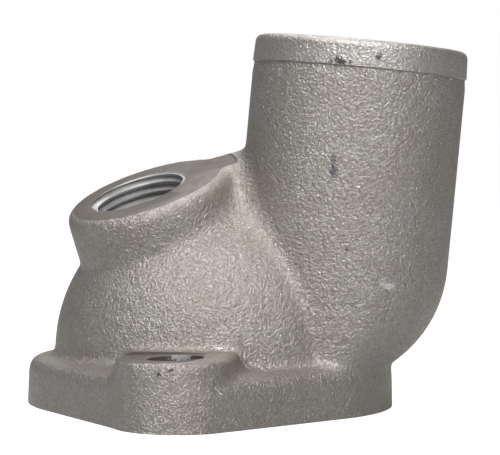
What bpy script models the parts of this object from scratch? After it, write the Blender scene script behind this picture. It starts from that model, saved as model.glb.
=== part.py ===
"""Coolant flange: a cast two-bolt engine water outlet with a slanted threaded port and a hose neck.

Metres, +Z up. The origin is the centre of the flange's machined underside. The bolts stand on the
Y axis, and the hose neck rises on the +X side and leans a little further that way.
"""
import math

import bmesh
import bpy
import numpy as np
from mathutils import Matrix, Vector

MM = 0.001

# Mounting flange
FLANGE_RADIUS = 38.7 * MM
FLANGE_THICKNESS = 9.8 * MM
FLANGE_EDGE_ROUND = 2.6 * MM
MOULD_DRAFT = math.radians(1.5)

# Bolt lobes
BOLT_SPACING = 88.2 * MM
LOBE_RADIUS = 11.65 * MM
BOLT_HOLE_DIAMETER = 11.1 * MM
PAD_HEIGHT = 13.35 * MM
PAD_OFFSET = -0.6 * MM
PAD_EDGE_ROUND = 0.9 * MM
PAD_SHOULDER = 34.7 * MM
DRILLING_LEAN = math.radians(2.5)

# Thermostat dome
DOME_RADIUS = 33.0 * MM
DOME_CENTRE_HEIGHT = 11.3 * MM
DOME_WALL = 5.0 * MM
THERMOSTAT_RECESS_DIAMETER = 64.5 * MM
THERMOSTAT_RECESS_DEPTH = 4.5 * MM

# Hose neck: an elbow that ends in a short straight tube
NECK_DIAMETER = 44.7 * MM
NECK_WALL = 4.0 * MM
NECK_LEAN = math.radians(4.6)
NECK_AXIS_AT_BASE = 25.1 * MM
NECK_RIM_HEIGHT = 76.2 * MM
NECK_RIM_ROUND = 1.5 * MM
NECK_BORE_CHAMFER = 0.6 * MM
ELBOW_HEIGHT = 31.0 * MM
ELBOW_BEND_RADIUS = 4.1 * MM

# Bead that holds the hose
BEAD_BAND = 5.6 * MM
BEAD_RISE = 0.32 * MM
BEAD_RUN_OUT = 1.3 * MM

# Slanted port boss
PORT_CENTRE = Vector((-14.1, -9.5, 44.8)) * MM
PORT_TILT = math.radians(23.1)
PORT_HEADING = math.radians(228.2)
PORT_DIAMETER = 19.4 * MM
PORT_CHAMFER = 1.1 * MM
BOSS_RADIUS = 17.7 * MM
BOSS_EDGE_ROUND = 2.2 * MM
BOSS_DRAFT = math.radians(1.5)
BOSS_DEPTH = 22.0 * MM
BOSS_OFFSET = Vector((-0.7, 1.8, 0)) * MM
WEB_THICKNESS = 10.4 * MM
WEB_OFFSET = 5.4 * MM
WEB_FLARE = math.radians(19)
WEB_FOOT_HEIGHT = 34.0 * MM
PORT_FACE_DIAMETER = 43.4 * MM

# Casting and machining
CAST_FILLET = 3.0 * MM
VALLEY_FILLET = 4.2 * MM
VALLEY_RAMP = 4.0 * MM
TROUGH_FILLET = 5.5 * MM
TROUGH_RAMP = 9.0 * MM
SADDLE_FILLET = 2.0 * MM
SADDLE_RAMP = 2.0 * MM
WEB_CORNER_FILLET = 1.0 * MM
WEB_CORNER_RAMP = 3.0 * MM
MACHINING_STOCK = 1.5 * MM
FACING_STOCK = 0.2 * MM
CUTTER_OVERRUN = 3.0 * MM

# Fineness of the mesh
SKIN_CELL = 0.9 * MM
SKIN_TRIANGLES = 5200
ROUND_SEGMENTS = 64
BALL_SEGMENTS = 40
EVEN_PASSES = 3
FILLET_PASSES = 300
HEEL_STEPS = 12

METAL_COLOUR = (0.33, 0.315, 0.295, 1.0)
METAL_ROUGHNESS = 0.5
METAL_METALLIC = 0.85


def clear_scene():
    for obj in list(bpy.data.objects):
        bpy.data.objects.remove(obj, do_unlink=True)


def new_collection(name):
    collection = bpy.data.collections.new(name)
    bpy.context.scene.collection.children.link(collection)
    return collection


def object_from(bm, name, collection):
    """Close a bmesh into a named object with its faces pointing out."""
    bmesh.ops.recalc_face_normals(bm, faces=bm.faces)
    mesh = bpy.data.meshes.new(name)
    bm.to_mesh(mesh)
    bm.free()
    obj = bpy.data.objects.new(name, mesh)
    collection.objects.link(obj)
    return obj


def baked_mesh(obj, name):
    """Mesh of an object with its modifiers applied."""
    depsgraph = bpy.context.evaluated_depsgraph_get()
    mesh = bpy.data.meshes.new_from_object(obj.evaluated_get(depsgraph))
    mesh.name = name
    return mesh


def add_disc(bm, radius_low, radius_high, low, high, placement):
    """Straight or tapered round block between two heights of a placement's own Z axis."""
    middle = placement @ Matrix.Translation((0, 0, (low + high) / 2))
    bmesh.ops.create_cone(bm, cap_ends=True, segments=ROUND_SEGMENTS, radius1=radius_low,
                          radius2=radius_high, depth=high - low, matrix=middle)


def add_ball(bm, radius, centre):
    bmesh.ops.create_uvsphere(bm, u_segments=BALL_SEGMENTS, v_segments=BALL_SEGMENTS // 2,
                              radius=radius, matrix=Matrix.Translation(centre))


def wrap(bm):
    """Keep only the convex skin round everything in the bmesh."""
    bmesh.ops.delete(bm, geom=bm.edges[:], context="EDGES_FACES")
    bmesh.ops.convex_hull(bm, input=bm.verts)
    inside = [vert for vert in bm.verts if not vert.link_faces]
    bmesh.ops.delete(bm, geom=inside, context="VERTS")
    bmesh.ops.dissolve_limit(bm, angle_limit=math.radians(0.5), verts=bm.verts, edges=bm.edges)


def round_top_edge(bm, height, radius):
    """Round the outline of the flat face that lies at a height."""
    tolerance = 0.01 * MM
    top = [edge for edge in bm.edges
           if all(abs(vert.co.z - height) < tolerance for vert in edge.verts)]
    bmesh.ops.bevel(bm, geom=top, offset=radius, offset_type="OFFSET", segments=4, profile=0.5,
                    affect="EDGES", material=-1)


def turned(name, profile, collection, placement=Matrix.Identity(4)):
    """Closed turned shape from a profile of (radius, height) that starts and ends on the axis."""
    mesh = bpy.data.meshes.new(name + "_profile")
    points = [(radius, 0.0, height) for radius, height in profile]
    mesh.from_pydata(points, [(i, i + 1) for i in range(len(points) - 1)], [])
    guide = bpy.data.objects.new(name + "_profile", mesh)
    collection.objects.link(guide)
    screw = guide.modifiers.new("Turn", "SCREW")
    screw.steps = ROUND_SEGMENTS
    screw.render_steps = ROUND_SEGMENTS
    screw.use_merge_vertices = True
    screw.merge_threshold = 0.00001
    solid = baked_mesh(guide, name)
    bpy.data.objects.remove(guide, do_unlink=True)
    bm = bmesh.new()
    bm.from_mesh(solid)
    bpy.data.meshes.remove(solid)
    bm.transform(placement)
    return object_from(bm, name, collection)


def arc(centre, radius, start, end, steps):
    """Points of a profile's arc, with angles in degrees from the radius direction."""
    angles = [math.radians(start + (end - start) * i / steps) for i in range(steps + 1)]
    return [(centre[0] + radius * math.cos(a), centre[1] + radius * math.sin(a)) for a in angles]


def neck_placement():
    """Frame whose Z axis runs up the neck and whose origin is the centre of its rim."""
    rim = Vector((NECK_AXIS_AT_BASE + NECK_RIM_HEIGHT * math.tan(NECK_LEAN), 0, NECK_RIM_HEIGHT))
    return Matrix.Translation(rim) @ Matrix.Rotation(NECK_LEAN, 4, "Y")


def port_placement():
    """Frame whose Z axis leaves the port and whose origin is the centre of the hole's mouth."""
    tilt = Matrix.Rotation(PORT_TILT, 4, "Y")
    heading = Matrix.Rotation(PORT_HEADING, 4, "Z")
    return Matrix.Translation(PORT_CENTRE) @ heading @ tilt


def elbow_centres():
    """Centres of the ball that sweeps the elbow, from the neck's axis to level."""
    start_x = NECK_AXIS_AT_BASE + ELBOW_HEIGHT * math.tan(NECK_LEAN)
    bend_x = start_x - ELBOW_BEND_RADIUS * math.cos(NECK_LEAN)
    steps = 6
    for i in range(steps + 1):
        angle = -NECK_LEAN * (1 - i / steps) + math.radians(90) * i / steps
        x = bend_x + ELBOW_BEND_RADIUS * math.cos(angle)
        z = ELBOW_HEIGHT - ELBOW_BEND_RADIUS * math.sin(angle)
        yield Vector((x, 0, z))


def bolt_centres():
    return [Vector((0, side * BOLT_SPACING / 2, 0)) for side in (-1, 1)]


def flange_plate(collection):
    """Round flange drawn out to the two bolt lobes, with draft on its sides."""
    bm = bmesh.new()
    slope = math.tan(MOULD_DRAFT)
    outlines = [(Vector((0, 0, 0)), FLANGE_RADIUS)]
    outlines += [(centre, LOBE_RADIUS) for centre in bolt_centres()]
    for centre, radius in outlines:
        low_radius = radius + MACHINING_STOCK * slope
        high_radius = radius - FLANGE_THICKNESS * slope
        add_disc(bm, low_radius, high_radius, -MACHINING_STOCK, FLANGE_THICKNESS,
                 Matrix.Translation(centre))
    wrap(bm)
    round_top_edge(bm, FLANGE_THICKNESS, FLANGE_EDGE_ROUND)
    return object_from(bm, "flange_plate", collection)


def bolt_lobe(centre, collection):
    """Raised boss under one bolt head, round outside and straight-sided back to the dome."""
    bm = bmesh.new()
    slope = math.tan(MOULD_DRAFT)
    top = PAD_HEIGHT + FACING_STOCK
    towards_dome = centre * ((DOME_RADIUS - LOBE_RADIUS) / centre.length)
    for place in (centre, towards_dome):
        place = place + Vector((PAD_OFFSET, 0, 0))
        add_disc(bm, LOBE_RADIUS, LOBE_RADIUS - top * slope, 0, top, Matrix.Translation(place))
    wrap(bm)
    round_top_edge(bm, top, PAD_EDGE_ROUND)
    return object_from(bm, "bolt_lobe", collection)


def dome_blank(collection):
    """Outside of the dome: half a ball on a short drum."""
    profile = arc((0, DOME_CENTRE_HEIGHT), DOME_RADIUS, 90, 0, 20)
    profile += [(DOME_RADIUS, -MACHINING_STOCK), (0, -MACHINING_STOCK)]
    return turned("dome_blank", profile, collection)


def add_heel_slice(bm, height, reach):
    """Level section of the neck's foot, its outer half squeezed to a reach along X."""
    radius = NECK_DIAMETER / 2
    middle = NECK_AXIS_AT_BASE + height * math.tan(NECK_LEAN)
    squeeze = max(0.0, reach - middle) / radius
    ring = bmesh.ops.create_circle(bm, segments=ROUND_SEGMENTS, radius=radius)["verts"]
    for vert in ring:
        outer_squeeze = squeeze if vert.co.x > 0 else 1.0
        vert.co = (middle + vert.co.x * outer_squeeze, vert.co.y, height)


def neck_blank(collection):
    """Outside of the neck: a straight tube down to the flange, drawn in round the outer side of the bend."""
    bm = bmesh.new()
    radius = NECK_DIAMETER / 2
    add_disc(bm, radius, radius, -BEAD_BAND, -NECK_RIM_ROUND, neck_placement())
    outer_bend = ELBOW_BEND_RADIUS + radius
    bend_x = NECK_AXIS_AT_BASE + ELBOW_HEIGHT * math.tan(NECK_LEAN) - ELBOW_BEND_RADIUS
    for i in range(HEEL_STEPS + 1):
        angle = math.radians(90) * i / HEEL_STEPS
        height = ELBOW_HEIGHT - outer_bend * math.sin(angle)
        add_heel_slice(bm, height, bend_x + outer_bend * math.cos(angle))
    wrap(bm)
    return object_from(bm, "neck_blank", collection)


def port_boss(collection):
    """Round boss that carries the port, with stock on its face."""
    bm = bmesh.new()
    spread = BOSS_DEPTH * math.tan(BOSS_DRAFT)
    add_disc(bm, BOSS_RADIUS + spread, BOSS_RADIUS, -BOSS_DEPTH, FACING_STOCK,
             Matrix.Translation(BOSS_OFFSET))
    round_top_edge(bm, FACING_STOCK, BOSS_EDGE_ROUND)
    bm.transform(port_placement())
    return object_from(bm, "port_boss", collection)


def web_ends():
    """Ends of the web's middle line on the plane of the port's face, inside the boss and the neck's wall."""
    axis = port_placement().to_3x3() @ Vector((0, 0, 1))
    neck_outside = NECK_AXIS_AT_BASE + PORT_CENTRE.z * math.tan(NECK_LEAN) - NECK_DIAMETER / 2
    for x in (PORT_CENTRE.x + BOSS_RADIUS / 2, neck_outside + NECK_WALL):
        away = x - PORT_CENTRE.x
        yield Vector((x, PORT_CENTRE.y + WEB_OFFSET,
                      PORT_CENTRE.z - (axis.x * away + axis.y * WEB_OFFSET) / axis.z))


def boss_web(collection):
    """Web that ties the boss to the neck, level with the boss's face and flared towards the dome."""
    bm = bmesh.new()
    to_port = port_placement().inverted()
    for place in web_ends():
        radius = WEB_THICKNESS / 2
        add_disc(bm, radius, radius, 0, FACING_STOCK, Matrix.Translation(to_port @ place))
        radius += (place.z - WEB_FOOT_HEIGHT) * math.tan(WEB_FLARE)
        foot = Vector((place.x, place.y, WEB_FOOT_HEIGHT))
        add_disc(bm, radius, radius, -WEB_THICKNESS, 0, to_port @ Matrix.Translation(foot))
    wrap(bm)
    round_top_edge(bm, FACING_STOCK, BOSS_EDGE_ROUND / 2)
    bm.transform(port_placement())
    return object_from(bm, "boss_web", collection)


def web_corner(heights):
    """Where the web's front wall leaves the boss, at some heights in the port's frame."""
    to_port = port_placement().inverted()
    edge = to_port @ (next(web_ends()) - Vector((0, WEB_THICKNESS / 2, 0)))
    wall = to_port.to_3x3() @ Vector((0, -math.cos(WEB_FLARE), math.sin(WEB_FLARE)))
    level = math.hypot(wall.x, wall.y)
    rise = (wall.dot(edge - BOSS_OFFSET) - wall.z * heights) / level
    run = np.sqrt(BOSS_RADIUS * BOSS_RADIUS - rise * rise)
    across = BOSS_OFFSET.x + (rise * wall.x - run * wall.y) / level
    return np.stack((across, BOSS_OFFSET.y + (rise * wall.y + run * wall.x) / level), axis=1)


def fused_skin(blanks, name, collection):
    """Fuse overlapping blanks into one closed skin of even cells."""
    bm = bmesh.new()
    for blank in blanks:
        bm.from_mesh(blank.data)
    cast = object_from(bm, name, collection)
    for blank in blanks:
        bpy.data.objects.remove(blank, do_unlink=True)
    remesh = cast.modifiers.new("Fuse", "REMESH")
    remesh.mode = "VOXEL"
    remesh.voxel_size = SKIN_CELL
    fused = baked_mesh(cast, name)
    cast.modifiers.clear()
    cast.data = fused
    return cast


def vertex_places(mesh):
    places = np.empty(len(mesh.vertices) * 3)
    mesh.vertices.foreach_get("co", places)
    return places.reshape(-1, 3)


def relax(mesh, passes, hollow_radii=None):
    """Draw vertices towards their neighbours: all of them, or those in hollows that are too tight."""
    places = vertex_places(mesh)
    count = len(places)
    ends = np.empty(len(mesh.edges) * 2, dtype=np.int64)
    mesh.edges.foreach_get("vertices", ends)
    first, second = ends.reshape(-1, 2).T
    valence = np.bincount(ends, minlength=count)
    normals = np.empty(count * 3)
    for _ in range(passes):
        mean = np.empty_like(places)
        for axis in range(3):
            mean[:, axis] = np.bincount(first, places[second, axis], count)
            mean[:, axis] += np.bincount(second, places[first, axis], count)
        pull = mean / valence[:, None] - places
        if hollow_radii is not None:
            mesh.vertices.foreach_get("normal", normals)
            outward = np.einsum("ij,ij->i", pull, normals.reshape(count, 3))
            tight = outward > SKIN_CELL * SKIN_CELL / (4 * hollow_radii)
            pull *= tight[:, None]
        places = places + 0.5 * pull
        mesh.vertices.foreach_set("co", places.ravel())
        mesh.update()


def fillet_radii(places):
    """Fillet at each point of the skin: wide beside the neck, sharp where the web leaves the boss."""
    beside_neck = np.interp(places[:, 0], (-VALLEY_RAMP, VALLEY_RAMP), (0, 1))
    above_foot = np.interp(places[:, 2], (FLANGE_THICKNESS, ELBOW_HEIGHT), (0, 1))
    radii = CAST_FILLET + (VALLEY_FILLET - CAST_FILLET) * beside_neck * above_foot
    in_trough = np.interp(places[:, 2], (ELBOW_HEIGHT, ELBOW_HEIGHT + TROUGH_RAMP), (0, 1))
    radii += (TROUGH_FILLET - radii) * in_trough * beside_neck
    to_port = np.array(port_placement().inverted())
    in_port_frame = places @ to_port[:3, :3].T + to_port[:3, 3]
    near_face = np.interp(in_port_frame[:, 2], (-SADDLE_RAMP, 0), (0, 1))
    radii += (SADDLE_FILLET - radii) * near_face * beside_neck
    corner = web_corner(np.clip(in_port_frame[:, 2], -BOSS_DEPTH / 2, 0))
    from_corner = np.linalg.norm(in_port_frame[:, :2] - corner, axis=1)
    away = np.interp(from_corner, (WEB_CORNER_RAMP / 2, WEB_CORNER_RAMP), (0, 1))
    return WEB_CORNER_FILLET + (radii - WEB_CORNER_FILLET) * away


def cast_fillets(cast):
    """Smooth the fused skin and give its inner corners the mould's fillets."""
    relax(cast.data, EVEN_PASSES)
    relax(cast.data, FILLET_PASSES, hollow_radii=fillet_radii(vertex_places(cast.data)))
    relax(cast.data, EVEN_PASSES)


def thin_out(cast):
    """Reduce the skin to fewer triangles where it is nearly flat."""
    triangles = sum(len(face.vertices) - 2 for face in cast.data.polygons)
    decimate = cast.modifiers.new("Thin", "DECIMATE")
    decimate.ratio = min(1.0, SKIN_TRIANGLES / triangles)
    thinned = baked_mesh(cast, cast.name)
    cast.modifiers.clear()
    cast.data = thinned


def neck_rim(collection):
    """End of the neck before it is bored: its rounded rim and the low bead that holds the hose."""
    outer = NECK_DIAMETER / 2 + BEAD_RISE
    foot = -BEAD_BAND - BEAD_RUN_OUT
    profile = [(0, 0)]
    profile += arc((outer - NECK_RIM_ROUND, -NECK_RIM_ROUND), NECK_RIM_ROUND, 90, 0, 5)
    profile += [(outer, -BEAD_BAND), (NECK_DIAMETER / 2 - BEAD_RISE, foot), (0, foot)]
    return turned("neck_rim", profile, collection, neck_placement())


def underside_cutter(collection):
    """Block that faces the underside flat at height zero."""
    bm = bmesh.new()
    reach = BOLT_SPACING + 2 * LOBE_RADIUS + NECK_DIAMETER
    depth = MACHINING_STOCK + CUTTER_OVERRUN
    place = Matrix.Translation((0, 0, -depth / 2)) @ Matrix.Diagonal((reach, reach, depth, 1))
    bmesh.ops.create_cube(bm, size=1.0, matrix=place)
    return object_from(bm, "underside_cutter", collection)


def thermostat_cutter(collection):
    """Stepped seat for the thermostat and the hollow of the dome above it."""
    seat = THERMOSTAT_RECESS_DIAMETER / 2
    hollow = DOME_RADIUS - DOME_WALL
    profile = arc((0, DOME_CENTRE_HEIGHT), hollow, 90, 0, 16)
    profile += [(hollow, THERMOSTAT_RECESS_DEPTH), (seat, THERMOSTAT_RECESS_DEPTH)]
    profile += [(seat, -CUTTER_OVERRUN), (0, -CUTTER_OVERRUN)]
    return turned("thermostat_cutter", profile, collection)


def elbow_cutter(collection):
    """Bend of the passage at the foot of the neck: a ball swept from the neck's axis to level."""
    bm = bmesh.new()
    for centre in elbow_centres():
        add_ball(bm, NECK_DIAMETER / 2 - NECK_WALL, centre)
    wrap(bm)
    return object_from(bm, "elbow_cutter", collection)


def neck_cutter(collection):
    """Bore of the straight neck, down to the start of the elbow."""
    bm = bmesh.new()
    bore = NECK_DIAMETER / 2 - NECK_WALL
    add_disc(bm, bore, bore, CUTTER_OVERRUN / 2, CUTTER_OVERRUN, neck_placement())
    add_ball(bm, bore, next(elbow_centres()))
    wrap(bm)
    return object_from(bm, "neck_cutter", collection)


def mouth_chamfer_cutter(collection):
    """Small bevel round the neck's mouth."""
    bm = bmesh.new()
    bore = NECK_DIAMETER / 2 - NECK_WALL
    low = bore - NECK_BORE_CHAMFER
    high = bore + 2 * NECK_BORE_CHAMFER
    add_disc(bm, low, high, -2 * NECK_BORE_CHAMFER, NECK_BORE_CHAMFER, neck_placement())
    return object_from(bm, "mouth_chamfer_cutter", collection)


def port_cutter(collection):
    """Port hole with the bevel at its mouth."""
    radius = PORT_DIAMETER / 2
    mouth = radius + PORT_CHAMFER
    profile = [(0, CUTTER_OVERRUN), (mouth, CUTTER_OVERRUN), (mouth, 0), (radius, -PORT_CHAMFER)]
    profile += [(radius, -BOSS_DEPTH), (0, -BOSS_DEPTH)]
    return turned("port_cutter", profile, collection, port_placement())


def port_face_cutter(collection):
    """Disc that faces the boss flat round the port."""
    bm = bmesh.new()
    radius = PORT_FACE_DIAMETER / 2
    add_disc(bm, radius, radius, 0, CUTTER_OVERRUN, port_placement())
    return object_from(bm, "port_face_cutter", collection)


def pad_placement(centre):
    """Frame of one bolt pad, machined in a jig that stood a little off square."""
    lean = Matrix.Rotation(-DRILLING_LEAN, 4, "Y")
    return Matrix.Translation(centre + Vector((0, 0, PAD_HEIGHT))) @ lean


def pad_cutter(centre, collection):
    """Block that faces one bolt pad, up to a straight shoulder in front of the dome."""
    bm = bmesh.new()
    length = centre.length + 2 * LOBE_RADIUS - PAD_SHOULDER
    middle = centre.normalized() * (PAD_SHOULDER + length / 2 - centre.length)
    middle.z = CUTTER_OVERRUN / 2
    size = Matrix.Diagonal((4 * LOBE_RADIUS, length, CUTTER_OVERRUN, 1))
    bmesh.ops.create_cube(bm, size=1.0,
                          matrix=pad_placement(centre) @ Matrix.Translation(middle) @ size)
    return object_from(bm, "pad_cutter", collection)


def bolt_cutter(centre, collection):
    """Bolt hole, square to its pad."""
    bm = bmesh.new()
    hole = BOLT_HOLE_DIAMETER / 2
    add_disc(bm, hole, hole, -PAD_HEIGHT - CUTTER_OVERRUN, CUTTER_OVERRUN, pad_placement(centre))
    return object_from(bm, "bolt_cutter", collection)


def cut(body, cutter):
    """Take a cutter's shape out of the body and keep the cutter as a guide."""
    add_boolean(body, cutter, "DIFFERENCE")


def fuse(body, addition):
    add_boolean(body, addition, "UNION")


def add_boolean(body, tool, operation):
    modifier = body.modifiers.new(tool.name, "BOOLEAN")
    modifier.operation = operation
    modifier.solver = "EXACT"
    modifier.object = tool
    tool.hide_render = True
    tool.display_type = "WIRE"


def cast_metal():
    material = bpy.data.materials.new("cast_metal")
    material.use_nodes = True
    shader = material.node_tree.nodes["Principled BSDF"]
    shader.inputs["Base Color"].default_value = METAL_COLOUR
    shader.inputs["Roughness"].default_value = METAL_ROUGHNESS
    shader.inputs["Metallic"].default_value = METAL_METALLIC
    material.diffuse_color = METAL_COLOUR
    return material


def build():
    clear_scene()
    parts = new_collection("coolant_flange")
    cutters = new_collection("cutters")

    blanks = [flange_plate(parts), dome_blank(parts), neck_blank(parts)]
    blanks += [port_boss(parts), boss_web(parts)]
    blanks += [bolt_lobe(centre, parts) for centre in bolt_centres()]
    casting = fused_skin(blanks, "coolant_flange", parts)
    cast_fillets(casting)
    thin_out(casting)

    fuse(casting, neck_rim(cutters))
    cut(casting, underside_cutter(cutters))
    cut(casting, port_face_cutter(cutters))
    cut(casting, port_cutter(cutters))
    for centre in bolt_centres():
        cut(casting, pad_cutter(centre, cutters))
        cut(casting, bolt_cutter(centre, cutters))
    cut(casting, thermostat_cutter(cutters))
    cut(casting, elbow_cutter(cutters))
    cut(casting, neck_cutter(cutters))
    cut(casting, mouth_chamfer_cutter(cutters))

    casting.data.materials.append(cast_metal())
    casting.data.shade_smooth()
    casting.data.set_sharp_from_angle(angle=math.radians(35))


build()
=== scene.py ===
"""Looks of a cast coolant flange: sand-cast skin, faced pads and port, a cut pipe thread.

The casting is modelled again here on a finer mesh than the solid has, by the same steps that
make the real one: a fused blank, the mould's fillets, then the cuts of the facing and drilling
tools. Each cut leaves its own finish. Metres, +Z up, as in the frame.
"""

import math

import bmesh
import bpy
import numpy as np
from mathutils import Matrix, Vector


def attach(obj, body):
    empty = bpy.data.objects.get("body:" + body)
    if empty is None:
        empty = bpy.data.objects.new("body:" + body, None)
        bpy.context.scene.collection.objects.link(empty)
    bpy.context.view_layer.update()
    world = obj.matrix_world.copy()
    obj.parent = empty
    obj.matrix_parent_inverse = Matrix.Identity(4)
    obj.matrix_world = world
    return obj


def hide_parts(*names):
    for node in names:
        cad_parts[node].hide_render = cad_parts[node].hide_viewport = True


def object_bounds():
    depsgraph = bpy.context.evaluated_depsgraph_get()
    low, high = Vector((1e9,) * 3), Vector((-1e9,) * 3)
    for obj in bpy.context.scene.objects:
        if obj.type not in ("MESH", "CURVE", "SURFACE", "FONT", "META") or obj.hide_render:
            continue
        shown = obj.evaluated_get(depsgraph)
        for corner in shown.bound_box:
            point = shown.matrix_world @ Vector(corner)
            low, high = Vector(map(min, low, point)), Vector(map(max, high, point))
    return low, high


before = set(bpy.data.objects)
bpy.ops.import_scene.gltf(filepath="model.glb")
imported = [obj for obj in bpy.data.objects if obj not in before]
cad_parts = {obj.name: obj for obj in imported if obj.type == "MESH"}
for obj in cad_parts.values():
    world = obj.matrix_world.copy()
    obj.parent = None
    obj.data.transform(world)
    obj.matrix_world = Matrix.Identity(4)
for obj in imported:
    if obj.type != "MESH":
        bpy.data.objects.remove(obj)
CAD_LOW, CAD_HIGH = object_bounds()

MM = 0.001
IDENTITY = Matrix.Identity(4)

# Mounting flange
FLANGE_RADIUS = 38.64 * MM
FLANGE_THICKNESS = 9.8 * MM
FLANGE_EDGE_ROUND = 2.6 * MM
MOULD_DRAFT = math.radians(1.5)

# Bolt lobes
BOLT_SPACING = 88.2 * MM
LOBE_RADIUS = 11.6 * MM
BOLT_HOLE_DIAMETER = 11.1 * MM
PAD_HEIGHT = 13.35 * MM
PAD_OFFSET = -0.6 * MM
PAD_EDGE_ROUND = 0.9 * MM
PAD_SHOULDER = 34.7 * MM
DRILLING_LEAN = math.radians(2.5)

# Thermostat dome
DOME_RADIUS = 33.0 * MM
DOME_CENTRE_HEIGHT = 11.3 * MM
DOME_WALL = 5.0 * MM
THERMOSTAT_RECESS_DIAMETER = 64.5 * MM
THERMOSTAT_RECESS_DEPTH = 4.5 * MM

# Hose neck
NECK_DIAMETER = 44.7 * MM
NECK_WALL = 4.0 * MM
NECK_LEAN = math.radians(4.6)
NECK_AXIS_AT_BASE = 25.1 * MM
NECK_RIM_HEIGHT = 76.2 * MM
NECK_RIM_ROUND = 1.5 * MM
NECK_BORE_CHAMFER = 0.6 * MM
ELBOW_HEIGHT = 31.0 * MM
ELBOW_BEND_RADIUS = 4.1 * MM
BEAD_BAND = 5.6 * MM
BEAD_RISE = 0.12 * MM
BEAD_FLARE = 0.2 * MM
GROOVE_DEPTH = 0.24 * MM
GROOVE_WALL = 0.45 * MM
GROOVE_RUN_OUT = 2.2 * MM

# Slanted port boss and its web
PORT_CENTRE = Vector((-14.1, -9.5, 44.8)) * MM
PORT_TILT = math.radians(23.1)
PORT_HEADING = math.radians(228.2)
BOSS_RADIUS = 17.7 * MM
BOSS_EDGE_ROUND = 2.2 * MM
BOSS_DRAFT = math.radians(1.5)
BOSS_DEPTH = 22.0 * MM
BOSS_OFFSET = Vector((-0.7, 1.8, 0)) * MM
WEB_THICKNESS = 10.4 * MM
WEB_OFFSET = 5.4 * MM
WEB_FLARE = math.radians(19)
WEB_FOOT_HEIGHT = 34.0 * MM
PORT_FACE_DIAMETER = 43.4 * MM
FACE_CUTTER_ROUND = 0.8 * MM

# Taper pipe thread of the port
THREAD_PITCH = 1.814 * MM
THREAD_CREST_DIAMETER = 18.9 * MM
THREAD_ROOT_DIAMETER = 21.3 * MM
THREAD_FLAT = 0.22 * MM
THREAD_TAPER = math.radians(1.79)
THREAD_TURNS = 12
THREAD_START = math.radians(15)
MOUTH_DIAMETER = 20.4 * MM
MOUTH_BEVEL = 0.3 * MM

# Fillets of the mould, and stock left for the tools
CAST_FILLET = 3.3 * MM
VALLEY_FILLET = 5.2 * MM
VALLEY_RAMP = 4.0 * MM
TROUGH_FILLET = 9.5 * MM
TROUGH_RAMP = 9.0 * MM
SADDLE_FILLET = 2.0 * MM
SADDLE_RAMP = 2.0 * MM
WEB_CORNER_FILLET = 1.0 * MM
WEB_CORNER_RAMP = 1.8 * MM
MACHINING_STOCK = 1.5 * MM
FACING_STOCK = 0.2 * MM
CUTTER_OVERRUN = 3.0 * MM

# Fineness of the mesh
SKIN_CELL = 0.62 * MM
FILLET_SPREAD = 400 * (0.9 * MM) ** 2
FILLET_PASSES = round(FILLET_SPREAD / SKIN_CELL ** 2)
EVEN_PASSES = 4
ROUND_SEGMENTS = 128
BALL_SEGMENTS = 64
HEEL_STEPS = 16
SLIVER = 0.002 * MM
SHARP_ANGLE = math.radians(35)

# Colours of the metal, cast, faced, cored and cut, and of its marks; the pale mark colour and the bead
# band's lighter skin also serve as painted highlights
STAIN = (0.05, 0.06, 0.085)
# Near-black colour painted into the pits
PIT_DARKENING = (0.06, 0.055, 0.05)
# Colour of bare metal, also painted on as highlights
BARE_METAL_AND_HIGHLIGHT = (0.85, 0.85, 0.84)
CAST_GREY = (0.57, 0.56, 0.55)
CAST_BROWN = (0.43, 0.38, 0.335)
CAST_HOLLOWS = (0.37, 0.335, 0.3)
FACED_GREY = (0.24, 0.22, 0.205)
FACED_BROWN = (0.18, 0.152, 0.13)
CORED_GREY = (0.2, 0.19, 0.18)
CORED_BROWN = (0.13, 0.09, 0.065)
BRIGHT_GREY = (0.6, 0.6, 0.6)
# Lighter copy of the skin for the bead band: a painted highlight where the band faces the light from
# above
BEAD_HOLLOWS_PAINTED_LIGHT = (0.46, 0.43, 0.4)
BEAD_TIPS_PAINTED_LIGHT = (0.72, 0.71, 0.7)

# Depth of the grain on the plain skin and on the smoother bead band
GRAIN_DEPTH = 0.32 * MM
BEAD_GRAIN_DEPTH = 0.2 * MM

# Marks of the skin in millimetres: where each starts and ends, its radius and its strength
STAINS = [
    ((27.67, -22.2, 49.2), (27.75, -22.2, 49.6), 1.0, 0.75),
    ((27.7, -22.2, 50.0), (27.9, -22.2, 52.4), 0.9, 0.5),
]
PITS = [
    ((30.5, -22.1, 33.8), (30.6, -22.1, 33.9), 0.45, 0.6),
    ((-1.3, -55.2, 11.2), (-1.2, -55.2, 11.3), 0.5, 0.8),
    ((0.9, -54.9, 12.2), (1.0, -54.9, 12.2), 0.45, 0.8),
    ((26.7, -22.4, 71.3), (26.8, -22.4, 71.3), 0.6, 0.6),
    ((28.2, -22.5, 71.7), (29.4, -22.5, 71.2), 0.75, 0.9),
    ((30.7, -22.6, 71.3), (30.8, -22.6, 71.3), 0.5, 0.6),
    ((36.3, -21.9, 72.2), (36.6, -21.8, 72.2), 0.65, 0.8),
]
# Pale rubs, and painted highlights: the third is a painted highlight along the lit shoulder wall at
# the back of the front pad
RUBS_AND_HIGHLIGHTS = [
    ((37.6, -19.7, 27.0), (39.6, -18.5, 26.5), 0.8, 0.6),
    ((25.5, -23.0, 11.5), (30.0, -21.8, 10.5), 0.3, 0.6),
    ((4.3, -33.1, 14.9), (9.2, -32.2, 14.5), 0.45, 1.0),
    ((8.7, -50.9, 8.6), (9.9, -49.8, 7.2), 0.25, 0.7),
    ((9.2, -50.4, 8.9), (10.3, -49.3, 7.8), 0.2, 0.6),
]
BARE_SPOTS = [
    ((-1.5, -38.5, 13.1), (1.3, -38.5, 13.1), 0.9, 1.0),
    ((-22.6, -5.3, 43.8), (-22.2, -4.6, 44.1), 0.5, 0.8),
    ((-21.5, -16.3, 40.5), (-21.4, -16.1, 40.6), 0.35, 0.8),
]

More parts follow.
